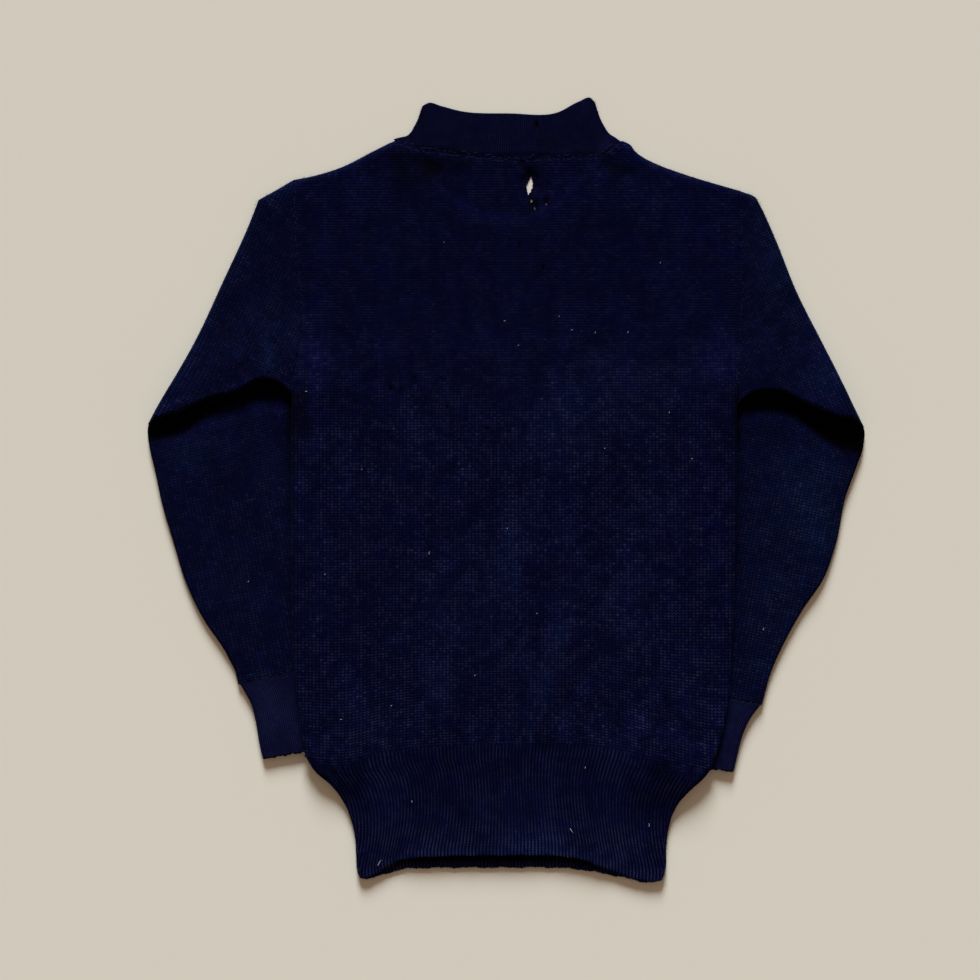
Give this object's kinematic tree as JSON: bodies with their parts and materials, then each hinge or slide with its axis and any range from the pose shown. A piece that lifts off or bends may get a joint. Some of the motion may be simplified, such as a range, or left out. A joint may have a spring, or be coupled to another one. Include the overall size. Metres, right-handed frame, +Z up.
{
  "type": "knitted pullover laid flat",
  "caption": "Heavy knitted pullover with a stand collar, set-in sleeves and a deep ribbed hem, laid flat back side up with its forearms tucked under the body.",
  "frame": {"origin": "centre of the bounding box's footprint, on the surface that the garment lies on", "axes": "+Y runs from the hem to the collar, +X from the wearer's left sleeve to the right one, and +Z points up from the surface, out of the garment's back"},
  "size_m": [0.6934, 0.76, 0.0163],
  "materials": {
    "body_knit": "matte wool stockinette",
    "sleeve_knit": "matte wool stockinette",
    "cuff_rib": "matte wool rib",
    "collar_rib": "matte wool rib, fine and tight",
    "hem_rib": "matte wool rib"
  },
  "bodies": {
    "root": {"back_panel": "body_knit", "front_panel": "body_knit", "sleeve_left": "sleeve_knit", "sleeve_right": "sleeve_knit", "cuff_left": "cuff_rib", "cuff_right": "cuff_rib", "collar": "collar_rib", "hem_rib": "hem_rib"}
  },
  "joints": []
}
